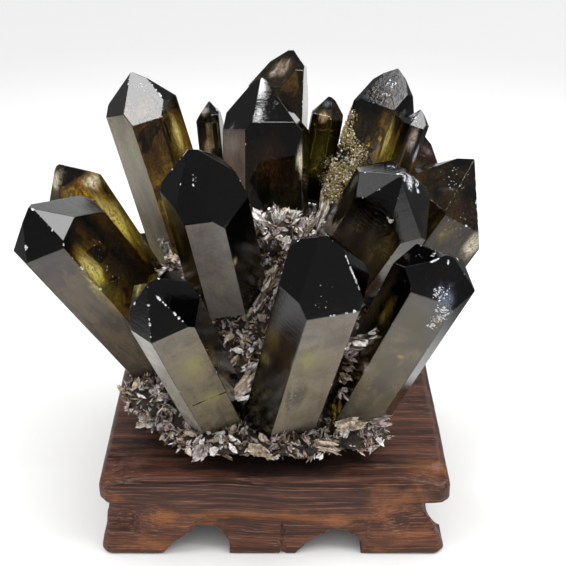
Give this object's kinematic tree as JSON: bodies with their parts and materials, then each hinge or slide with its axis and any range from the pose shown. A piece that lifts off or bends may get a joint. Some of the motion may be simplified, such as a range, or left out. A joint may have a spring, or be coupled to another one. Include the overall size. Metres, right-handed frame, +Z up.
{
  "type": "morion quartz cluster on a wooden stand",
  "caption": "Cluster of smoky black quartz crystals fanning out of flaky pale matrix, resting on a low carved wooden stand with scalloped feet.",
  "frame": {"origin": "on the ground, under the centre of the bounding box of the whole", "axes": "+Z up, -Y towards the viewer of the front, +X to the viewer's right"},
  "size_m": [0.155, 0.158, 0.1495],
  "materials": {
    "stand_wood": "dark reddish-brown wood, rubbed semi-gloss, fine straight grain",
    "matrix_rock": "pale grey-brown stone with flaky, pearly blades; stands in for rock",
    "smoky_quartz": "clear smoky quartz, amber inside with near-black tips, glassy faces"
  },
  "bodies": {
    "root": {"wood_stand": "stand_wood", "matrix": "matrix_rock", "crystal_left_large": "smoky_quartz", "crystal_left_rear": "smoky_quartz", "crystal_back_left": "smoky_quartz", "crystal_middle_left": "smoky_quartz", "crystal_back_middle": "smoky_quartz", "crystal_highest": "smoky_quartz", "crystal_small_back_left": "smoky_quartz", "crystal_small_back_right": "smoky_quartz", "crystal_pair_back_right": "smoky_quartz", "crystal_small_right": "smoky_quartz", "crystal_right_blocky": "smoky_quartz", "crystal_middle_right": "smoky_quartz", "crystal_front_right": "smoky_quartz", "crystal_front_middle": "smoky_quartz", "crystal_front_left": "smoky_quartz", "crystal_rear_left": "smoky_quartz", "crystal_rear_middle": "smoky_quartz", "crystal_rear_right": "smoky_quartz", "crystal_rear_far_right": "smoky_quartz", "crystal_rear_low": "smoky_quartz"}
  },
  "joints": []
}
